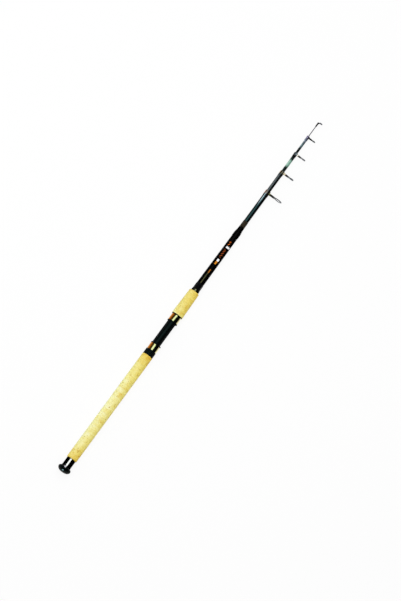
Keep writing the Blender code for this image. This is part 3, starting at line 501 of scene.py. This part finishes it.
def makeTube(section):
    # Carbon and glass fibre rolled on a mandrel, baked in tape and clear coated: near black with a cool sheen
    # painted round it, and painted shade underneath
    facts = tubes["sections"][section]
    material, tree, shader = newMaterial(f"clear-coated carbon fibre, {section}", tubes["base"],
                                         tubes["roughness"], ior=tubes["ior"])
    shader.inputs["Specular IOR Level"].default_value = tubes["shine"]
    apart = placeApart(tree)
    angle = addNode(tree, "ShaderNodeMath", {"operation": "ARCTAN2"}, {0: apart["Z"], 1: apart["Y"]})
    turns = addNode(tree, "ShaderNodeMath", {"operation": "MULTIPLY", 1: math.tau / tubes["tapeWidth"]},
                    {0: apart["X"]})
    spiral = addNode(tree, "ShaderNodeMath", {"operation": "ADD"}, {0: turns.outputs[0], 1: angle.outputs[0]})
    wave = addNode(tree, "ShaderNodeMath", {"operation": "SINE"}, {0: spiral.outputs[0]})
    bump = addNode(tree, "ShaderNodeBump",
                   {"Strength": tubes["tapeStrength"], "Distance": tubes["tapeDepth"]},
                   {"Height": wave.outputs[0]})
    tree.links.new(bump.outputs[0], shader.inputs["Normal"])
    colour = paintLightAround(tree, facts["paintedLight"])
    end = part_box(section)[1].x
    for tint in facts["paintedSheens"]:
        mask = between(tree, apart["X"], end + tint["from"] * mm, end + tint["to"] * mm, tint["soft"] * mm)
        colour = addNode(tree, "ShaderNodeMix", {"data_type": "RGBA"},
                         {0: mask, 6: colour, 7: paintLightAround(tree, tint["paintedLight"])}).outputs[2]
    shade = addNode(tree, "ShaderNodeMapRange",
                    {"From Min": tubes["underFrom"], "From Max": tubes["underTo"]},
                    {"Value": facing(tree, (0, 0, 1))})
    shaded = addNode(tree, "ShaderNodeMix", {"data_type": "RGBA", 6: toLinear(tubes["under"])},
                     {0: shade.outputs[0], 7: colour})
    tree.links.new(shaded.outputs[2], shader.inputs["Base Color"])
    return material


guideFrames = {
    "base": "#202020", "roughness": 0.34, "glossier": 0.07, "duller": 0.09,
    "marks": 0.8 * mm, "marksDetail": 3.0,  # tumbling marks
    # how much fuller than the CAD's the legs and the bands round the rings are, below that y, and how much
    # the tip-top is, farther than that off the rod's axis
    "plump": 0.25 * mm, "plumpBelow": -7.0 * mm, "plumpTipFrom": 1.2 * mm,
    "rampFrom": -50 * mm, "rampTo": 10 * mm,
    # colours by distance along y, in mm, the metal's own tones with painted highlights and reflections among
    # them: far side, collar, root of the legs, legs, band round the ring
    "colours": {
        "guide_1_frame": ((6.8, "#D89478"), (5.4, "#7A5A4C"), (4.0, "#6A6258"), (2.6, "#CFCABE"),
                          (1.4, "#7C7C78"), (0.2, "#101112"), (-4.2, "#08080A"), (-5.6, "#4C4A28"),
                          (-8.4, "#5E5C34"), (-10.0, "#0C0B09"), (-23.0, "#0A0A0A"), (-25.5, "#484B54")),
        "guide_2_frame": ((5.5, "#E8C890"), (4.4, "#4A3A28"), (2.0, "#2A2A26"), (0.0, "#5E5C4C"),
                          (-3.0, "#34342E"), (-5.5, "#A89E80"), (-8.5, "#D8CCAE"), (-10.5, "#221719"),
                          (-17.0, "#2A2426"), (-20.0, "#686E72")),
        "guide_3_frame": ((4.5, "#2E3438"), (0.0, "#4C565A"), (-3.5, "#7A8486"), (-6.5, "#DAD4C4"),
                          (-9.0, "#26251C"), (-14.0, "#2A2A24"), (-17.0, "#7C7C82")),
        "guide_4_frame": ((3.8, "#C4BCD8"), (1.0, "#8C86A0"), (-1.2, "#1A1A20"), (-12.0, "#14181A"),
                          (-15.0, "#3C4642")),
        "tip_top_frame": ((2.0, "#060608"), (-1.6, "#0A0A0C"), (-2.4, "#5C5C66"), (-9.0, "#8C8C98")),
    },
}


def makeFrame(node):
    # Stamped stainless steel, black chromed and tumbled: a dark soft mirror, with painted highlights and
    # reflections in bands across it, palest by the collar
    material, tree, shader = newMaterial(f"black chromed steel, {node}", guideFrames["base"],
                                         guideFrames["roughness"], 1.0)
    place = addNode(tree, "ShaderNodeTexCoord").outputs["Object"]
    apart = placeApart(tree)
    low, high = guideFrames["rampFrom"], guideFrames["rampTo"]
    side = addNode(tree, "ShaderNodeMapRange", {"From Min": low, "From Max": high}, {"Value": apart["Y"]})
    stops = sorted(((y * mm - low) / (high - low), colour) for y, colour in guideFrames["colours"][node])
    colour = addNode(tree, "ShaderNodeValToRGB", {"stops": stops}, {0: side.outputs[0]})
    tree.links.new(colour.outputs[0], shader.inputs["Base Color"])
    marks = addNode(tree, "ShaderNodeTexNoise",
                    {"Scale": 1 / guideFrames["marks"], "Detail": guideFrames["marksDetail"]},
                    {"Vector": place})
    rough = addNode(tree, "ShaderNodeMapRange", {"To Min": guideFrames["roughness"] - guideFrames["glossier"],
                                                 "To Max": guideFrames["roughness"] + guideFrames["duller"]},
                    {"Value": marks.outputs["Fac"]})
    tree.links.new(rough.outputs[0], shader.inputs["Roughness"])
    return material


ceramic = {"base": "#686D73", "dark": "#5A5F66", "light": "#747A80", "roughness": 0.18, "ior": 1.77,
           "grain": 0.5 * mm}


def makeCeramic():
    # Aluminium oxide, sintered and diamond polished: a dense grey with a wet shine
    material, tree, shader = newMaterial("polished aluminium oxide", ceramic["base"], ceramic["roughness"],
                                         ior=ceramic["ior"])
    place = addNode(tree, "ShaderNodeTexCoord").outputs["Object"]
    grains = addNode(tree, "ShaderNodeTexNoise", {"Scale": 1 / ceramic["grain"]}, {"Vector": place})
    colour = addNode(tree, "ShaderNodeMix", {"data_type": "RGBA", 6: toLinear(ceramic["dark"]),
                                             7: toLinear(ceramic["light"])}, {0: grains.outputs["Fac"]})
    tree.links.new(colour.outputs[2], shader.inputs["Base Color"])
    return material


finishes = {
    "cork": makeCork(),
    "nylon": makeMoulded("glass-filled nylon, moulded", moulded["colour"], moulded["roughness"],
                         moulded["topShine"]),
    "knob": makeKnob(),
    "rubber": makeMoulded("nitrile rubber, moulded", rubber["colour"], rubber["roughness"],
                          rubber["topShine"]),
    "blackChrome": makeChromed("black chromed aluminium, polished", chromed["black"]),
    "bronzeChrome": makeChromed("dark bronze chromed aluminium, polished", chromed["bronze"]),
    "gold": makeGold(),
    "blackThread": makeThread("black nylon thread in epoxy", thread["black"]),
    "bronzeThread": makeThread("bronze nylon thread in epoxy", thread["bronze"]),
    "blank": makeBlank(),
    "ceramic": makeCeramic(),
}
for node, epoxy in thread["epoxy"].items():
    finishes[node] = makeThread(f"black nylon thread in clear epoxy, {node}", thread["black"], epoxy)
finishes.update({section: makeTube(section) for section in tubes["sections"]})
finishes.update({node: makeFrame(node) for node in guideFrames["colours"]})
print("materials made:", len(finishes))


fineness = {
    "sides": 96,  # of a turned piece
    "weld": 0.002 * mm,
    "sameAngle": 0.01,  # radians
    "cornerAngle": 32, "curveAngle": 4,  # degrees: past the first is a corner, past the second a curve
    "edge": 0.15 * mm,  # how far the rounding of a corner reaches
    "edgeSteps": 3,
    "fill": (0.33, 0.67),  # where points are added between two points of a curve
}
bodyOfNode = {n: b for b, ns in frame["record"]["behaviour"]["bodies"].items() for n in ns}


def outlineOf(node, axisY=0.0):
    # The outline that a CAD solid was turned from, as (x, radius) points in order, read from the solid, and
    # whether it starts and ends on the axis
    bm = bmesh.new()
    bm.from_mesh(frame["nodes"][node].data)
    bmesh.ops.remove_doubles(bm, verts=bm.verts, dist=fineness["weld"])
    angles = {v: math.atan2(v.co.y - axisY, -v.co.z) for v in bm.verts}
    corner = min(a for a in angles.values() if a > fineness["sameAngle"])
    chosen = {v for v, a in angles.items() if abs(a - corner) < fineness["sameAngle"]}
    links = {v: [e.other_vert(v) for e in v.link_edges if e.other_vert(v) in chosen] for v in chosen}
    ends = sorted((v for v in chosen if len(links[v]) == 1), key=lambda v: v.co.x)
    start = ends[0] if ends else min(chosen, key=lambda v: (round(v.co.x, 6), v.co.z))
    path, last = [start], None
    while True:
        onward = [v for v in links[path[-1]] if v is not last and v is not path[0]]
        if not onward:
            break
        last = path[-1]
        path.append(onward[0])
    points = [(v.co.x, math.hypot(v.co.y - axisY, v.co.z)) for v in path]
    bm.free()
    return points, bool(ends)


def easedOutline(points, closed):
    # Rounds the sharp corners a little and fills the curved stretches with more points
    count = len(points)
    corners = [Vector(p) for p in points]
    turns = []
    for i, point in enumerate(corners):
        if not closed and i in (0, count - 1):
            turns.append(90.0)
            continue
        before = point - corners[i - 1]
        after = corners[(i + 1) % count] - point
        turns.append(abs(math.degrees(before.angle_signed(after))))
    made = []
    for i, point in enumerate(corners):
        before, after = corners[i - 1], corners[(i + 1) % count]
        ended = not closed and i in (0, count - 1)
        if turns[i] > fineness["cornerAngle"] and not ended:
            reach = min(fineness["edge"], (point - before).length / 3, (after - point).length / 3)
            start = point + (before - point).normalized() * reach
            end = point + (after - point).normalized() * reach
            for k in range(fineness["edgeSteps"] + 1):
                t = k / fineness["edgeSteps"]
                made.append(start * (1 - t) ** 2 + point * 2 * t * (1 - t) + end * t * t)
        else:
            made.append(point)
        if closed or i < count - 1:
            j = (i + 1) % count
            curved = [fineness["curveAngle"] < turns[k] <= fineness["cornerAngle"] for k in (i, j)]
            if any(curved):
                tangents = []
                for k, isCurved in zip((i, j), curved):
                    if isCurved:
                        spread = corners[(k + 1) % count] - corners[k - 1]
                        tangents.append(spread.normalized() * (after - point).length)
                    else:
                        tangents.append(after - point)
                for t in fineness["fill"]:
                    fromHere = point * (2 * t ** 3 - 3 * t ** 2 + 1) + tangents[0] * (t ** 3 - 2 * t ** 2 + t)
                    fromNext = after * (3 * t ** 2 - 2 * t ** 3) + tangents[1] * (t ** 3 - t ** 2)
                    made.append(fromHere + fromNext)
    return [tuple(p) for p in made]


def ridged(points):
    # Thread ridges on the long outer stretches of a winding's outline, with every other step in a groove
    inner = min(r for _, r in points)
    wall = max(r for _, r in points) - inner
    made = []
    for (x0, r0), (x1, r1) in zip(points, points[1:] + points[:1]):
        made.append((x0, r0))
        turns = abs(x1 - x0) / thread["pitch"]
        if turns > thread["leastTurns"] and min(r0, r1) > inner + wall * thread["outerFrom"]:
            count = round(turns) * thread["stepsPerPitch"]
            for k in range(1, count):
                t = k / count
                made.append((x0 + (x1 - x0) * t, r0 + (r1 - r0) * t - thread["ridge"] * (k % 2)))
    return made


def turnedMesh(name, points, solid, axisY=0.0):
    bm = bmesh.new()
    sides = fineness["sides"]
    rings = []
    for x, r in points:
        ring = []
        for i in range(sides):
            angle = math.tau * i / sides
            ring.append(bm.verts.new((x, axisY + r * math.sin(angle), -r * math.cos(angle))))
        rings.append(ring)
    pairs = list(zip(rings, rings[1:]))
    if solid:
        bm.faces.new(rings[0])
        bm.faces.new(rings[-1])
    else:
        pairs.append((rings[-1], rings[0]))
    for one, other in pairs:
        for i in range(sides):
            bm.faces.new((one[i - 1], one[i], other[i], other[i - 1]))
    bmesh.ops.recalc_face_normals(bm, faces=bm.faces)
    mesh = bpy.data.meshes.new(name)
    bm.to_mesh(mesh)
    bm.free()
    return mesh


def dress(node, mesh, finish):
    # Sets a finer piece in a CAD node's place
    mesh.shade_smooth()
    mesh.set_sharp_from_angle(angle=math.radians(fineness["cornerAngle"]))
    mesh.materials.clear()
    mesh.materials.append(finishes[finish])
    piece = bpy.data.objects.new(f"{node}.fine", mesh)
    bpy.context.scene.collection.objects.link(piece)
    weighted = piece.modifiers.new("even normals", "WEIGHTED_NORMAL")
    weighted.keep_sharp = True
    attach(piece, bodyOfNode[node])
    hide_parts(node)


def fullKnob(points):
    # The moulded knob is fuller than the CAD's plain dome and cone: a quarter ellipse on each side of its rim
    radius = max(r for _, r in points)
    last = max(i for i, (_, r) in enumerate(points) if r > knob["neck"])
    front, rear = [], []
    for k in range(knob["steps"] + 1):
        angle = math.pi / 2 * k / knob["steps"]
        front.append((knob["widest"] * (1 - math.cos(angle)),
                      knob["face"] + (radius - knob["face"]) * math.sin(angle)))
        rear.append((knob["widest"] + (points[last][0] - knob["widest"]) * math.sin(angle),
                     knob["neck"] + (radius - knob["neck"]) * math.cos(angle)))
    return points[:1] + front + rear[1:] + points[last + 1:]


screws = {
    "pitch": 2.0 * mm, "stepsPerTurn": 8, "sides": 64,
    "wall": 0.3 * mm,  # of the threaded sleeve, under the groove
    "edge": 0.05 * mm,  # length of the step down to the neck under a thread
    # from the piece's rear end, over that length; crest is the ridges' radius, flatY where the flat cuts them
    "threads": {
        "reel_seat_barrel": {"from": 0.7 * mm, "length": 34.1 * mm, "crest": 11.63 * mm, "depth": 0.55 * mm,
                             "flatY": -10.98 * mm, "finish": "nylon"},
        "butt_cap": {"from": 16.6 * mm, "length": 9.0 * mm, "crest": 9.23 * mm, "depth": 0.5 * mm,
                     "flatY": None, "finish": "knob"},
    },
}


def threadEnds(node):
    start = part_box(node)[0].x + screws["threads"][node]["from"]
    return start, start + screws["threads"][node]["length"]


def neckRadius(node):
    facts = screws["threads"][node]
    return facts["crest"] - facts["depth"] - screws["wall"] / 2


def screwMesh(node):
    # A sleeve with one helical ridge round it, closed inside at the bottom of the groove
    facts = screws["threads"][node]
    start, end = threadEnds(node)
    sides, pitch = screws["sides"], screws["pitch"]
    count = round((end - start) / pitch * screws["stepsPerTurn"])
    inner = facts["crest"] - facts["depth"] - screws["wall"]
    bm = bmesh.new()
    rings = []
    for j in range(-1, count + 2):
        x = start + (end - start) * min(max(j, 0), count) / count
        fade = min(1.0, (x - start) / pitch, (end - x) / pitch)
        ring = []
        for i in range(sides):
            angle = math.tau * i / sides
            rise = 0.5 - 0.5 * math.cos(math.tau * (x / pitch - i / sides))  # 1 on the ridge
            radius = inner if j in (-1, count + 1) else facts["crest"] - facts["depth"] * (1 - fade * rise)
            y = radius * math.sin(angle)
            if facts["flatY"]:
                y = max(y, facts["flatY"])
            ring.append(bm.verts.new((x, y, -radius * math.cos(angle))))
        rings.append(ring)
    for one, other in zip(rings, rings[1:] + rings[:1]):
        for i in range(sides):
            bm.faces.new((one[i - 1], one[i], other[i], other[i - 1]))
    bmesh.ops.recalc_face_normals(bm, faces=bm.faces)
    mesh = bpy.data.meshes.new(f"{node}.thread")
    bm.to_mesh(mesh)
    bm.free()
    return mesh


def undercut(points, node):
    # Lowers the stretch of an outline that the screw thread covers
    start, end = threadEnds(node)
    last = max(i for i, (x, _) in enumerate(points) if x < start)
    plug = points[last][1]
    step = [(start, plug), (start, neckRadius(node)), (end, neckRadius(node)), (end, plug)]
    return points[:last + 1] + step + points[last + 1:]


turned = {
    "butt_cap": "knob", "cap_seal": "rubber", "cap_cushion": "rubber", "butt_sleeve": "blackChrome",
    "rear_grip": "cork", "fore_grip": "cork", "seat_front_ring": "nylon", "winding_check": "bronzeChrome",
    "butt_blank": "blank", "nose_collar": "blank", "section_2": "section_2", "section_2_base_bush": "nylon",
    "section_3": "section_3", "section_4": "section_4", "section_5": "section_5", "tip_rod": "tip_rod",
}
for node, finish in turned.items():
    points, solid = outlineOf(node)
    if node == "butt_cap":
        points = undercut(fullKnob(points), node)
    dress(node, turnedMesh(node, easedOutline(points, not solid), solid), finish)
print("turned pieces made")

wound = {
    "fore_winding": "blackThread", "section_2_stop_band": "bronzeThread",
    "guide_1_winding": "guide_1_winding", "guide_2_winding": "guide_2_winding",
    "guide_3_winding": "blackThread", "guide_4_winding": "guide_4_winding", "tip_winding": "blackThread",
}
for node, finish in wound.items():
    points, solid = outlineOf(node)
    if node == "tip_winding":
        middle = sum(r for _, r in points) / len(points)
        points = [(x, r + thread["tipEpoxy"] if r > middle else r) for x, r in points]
    dress(node, turnedMesh(node, ridged(points), solid), finish)
print("windings made")

for node in ("guide_1_ring", "guide_2_ring", "guide_3_ring", "guide_4_ring", "tip_top_ring"):
    low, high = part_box(node)
    axisY = (low.y + high.y) / 2
    points, solid = outlineOf(node, axisY)
    dress(node, turnedMesh(node, easedOutline(points, True), solid, axisY), "ceramic")
print("guide rings made")


def plumped(bm, atTip):
    # Fills out a guide's legs and the band round its ring, or the whole tip-top outside the tip's bore
    bm.normal_update()
    for vert in bm.verts:
        radius = math.hypot(vert.co.y, vert.co.z)
        if (radius > guideFrames["plumpTipFrom"]) if atTip else (vert.co.y < guideFrames["plumpBelow"]):
            vert.co += vert.normal * guideFrames["plump"]


def necked(bm, node):
    # Lowers the barrel under its screw thread
    edge = screws["edge"]
    start, end = threadEnds(node)
    for x in (start, start + edge, end - edge, end):
        everything = bm.verts[:] + bm.edges[:] + bm.faces[:]
        bmesh.ops.bisect_plane(bm, geom=everything, plane_co=(x, 0, 0), plane_no=(1, 0, 0), dist=0.001 * mm)
    for vert in bm.verts:
        radius = math.hypot(vert.co.y, vert.co.z)
        if start + edge / 2 < vert.co.x < end - edge / 2 and radius > neckRadius(node):
            vert.co.y *= neckRadius(node) / radius
            vert.co.z *= neckRadius(node) / radius


cut = {
    "lock_nut": "nylon", "reel_seat_barrel": "nylon", "sliding_hood": "nylon", "fixed_hood": "nylon",
    "sliding_hood_cover": "gold", "fixed_hood_cover": "gold", "guide_1_frame": "guide_1_frame",
    "guide_2_frame": "guide_2_frame", "guide_3_frame": "guide_3_frame", "guide_4_frame": "guide_4_frame",
    "tip_top_frame": "tip_top_frame",
}
for node, finish in cut.items():  # these keep the CAD's cut faces, welded and shaded smooth
    bm = bmesh.new()
    bm.from_mesh(frame["nodes"][node].data)
    bmesh.ops.remove_doubles(bm, verts=bm.verts, dist=fineness["weld"])
    if node in guideFrames["colours"]:
        plumped(bm, node == "tip_top_frame")
    if node in screws["threads"]:
        necked(bm, node)
    mesh = bpy.data.meshes.new(node)
    bm.to_mesh(mesh)
    bm.free()
    dress(node, mesh, finish)
print("cut and joined pieces made")

for node, facts in screws["threads"].items():
    mesh = screwMesh(node)
    mesh.shade_smooth()
    mesh.materials.append(finishes[facts["finish"]])
    piece = bpy.data.objects.new(f"{node}.thread", mesh)
    bpy.context.scene.collection.objects.link(piece)
    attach(piece, bodyOfNode[node])
print("screw threads made")


studio = {
    "floorSize": 80.0,
    "paper": "#F8F8F8",
    "floorShows": 0.9,  # how much of the floor's white is its own, so that the rest keeps the rod's shadow
    "horizon": 0.9,
    "zenith": 0.02,
    "horizonTop": 0.06,  # sine of the angle above the floor at which the room has gone dark
    "ambient": 0.45,  # even light that matt surfaces get from the room
    "backdrop": 0.97,  # what the camera sees of the room beyond the floor
    "knobRests": 8 * mm,  # where along the rod the knob touches the floor; the fore grip's rear edge does too
    "underRod": 0.02 * mm,  # gap between the floor and what lies on it
    "cadSides": 24,  # the CAD turns the handle with so many flats, which reach less far than the true round
}
lamps = {  # power in watts, size in metres, and where each stands and looks
    "key": {"power": 38.0, "size": (3.0, 1.6), "place": (0.8, 0.36, 2.27), "aim": (0.8, 0.0, 0.0)},
    "fill": {"power": 9.0, "size": (6.0, 1.2), "place": (0.6, 1.53, 0.468), "aim": (0.6, 0.0, 0.0)},
}

knobRadius, gripRadius = (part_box(node)[1].z / math.cos(math.pi / studio["cadSides"])
                          for node in ("butt_cap", "fore_grip"))
slope = (knobRadius - gripRadius) / (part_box("fore_grip")[0].x - studio["knobRests"])
half = studio["floorSize"] / 2
corners = [(-half, -half), (half, -half), (half, half), (-half, half)]
floorMesh = bpy.data.meshes.new("floor")
floorMesh.from_pydata([(x, y, slope * (x - studio["knobRests"]) - knobRadius - studio["underRod"])
                       for x, y in corners], [], [(0, 1, 2, 3)])
floor = bpy.data.objects.new("floor", floorMesh)
bpy.context.scene.collection.objects.link(floor)
paper = bpy.data.materials.new("white seamless paper")
paper.use_nodes = True
tree = paper.node_tree
tree.nodes.clear()
ray = addNode(tree, "ShaderNodeLightPath").outputs
seen = addNode(tree, "ShaderNodeMath", {"operation": "MAXIMUM"},
               {0: ray["Is Camera Ray"], 1: ray["Is Glossy Ray"]})
seenToo = addNode(tree, "ShaderNodeMath", {"operation": "MAXIMUM"},
                  {0: seen.outputs[0], 1: ray["Is Transmission Ray"]})
share = addNode(tree, "ShaderNodeMath", {"operation": "MULTIPLY", 1: studio["floorShows"]},
                {0: seenToo.outputs[0]})
lit = addNode(tree, "ShaderNodeBsdfDiffuse", {"Color": toLinear(studio["paper"])})
white = addNode(tree, "ShaderNodeEmission", {"Color": (1, 1, 1, 1), "Strength": 1.0})
mixed = addNode(tree, "ShaderNodeMixShader",
                links={0: share.outputs[0], 1: lit.outputs[0], 2: white.outputs[0]})
addNode(tree, "ShaderNodeOutputMaterial", links={"Surface": mixed.outputs[0]})
floorMesh.materials.append(paper)
floor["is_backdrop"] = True

for name, facts in lamps.items():
    light = bpy.data.lights.new(name, "AREA")
    light.shape = "RECTANGLE"
    light.size, light.size_y = facts["size"]
    light.energy = facts["power"]
    lamp = bpy.data.objects.new(name, light)
    lamp.location = facts["place"]
    lamp.rotation_euler = (Vector(facts["aim"]) - lamp.location).to_track_quat("-Z", "Y").to_euler()
    lamp.visible_camera = False
    bpy.context.scene.collection.objects.link(lamp)

world = bpy.data.worlds.new("studio")
bpy.context.scene.world = world
world.use_nodes = True
tree = world.node_tree
tree.nodes.clear()
heading = addNode(tree, "ShaderNodeTexCoord").outputs["Generated"]
height = addNode(tree, "ShaderNodeSeparateXYZ", links={0: heading}).outputs["Z"]
level = addNode(tree, "ShaderNodeMapRange", {"interpolation_type": "SMOOTHSTEP", "From Min": 0.0,
                                             "From Max": studio["horizonTop"], "To Min": studio["horizon"],
                                             "To Max": studio["zenith"]}, {"Value": height})
ray = addNode(tree, "ShaderNodeLightPath").outputs
strength = addNode(tree, "ShaderNodeMix", {"data_type": "FLOAT", 3: studio["ambient"]},
                   {0: ray["Is Diffuse Ray"], 2: level.outputs[0]})
shown = addNode(tree, "ShaderNodeMix", {"data_type": "FLOAT", 3: studio["backdrop"]},
                {0: ray["Is Camera Ray"], 2: strength.outputs[0]})
sky = addNode(tree, "ShaderNodeBackground", {"Color": (1, 1, 1, 1)}, {"Strength": shown.outputs[0]})
addNode(tree, "ShaderNodeOutputWorld", links={"Surface": sky.outputs[0]})
print("studio made")

low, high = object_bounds()
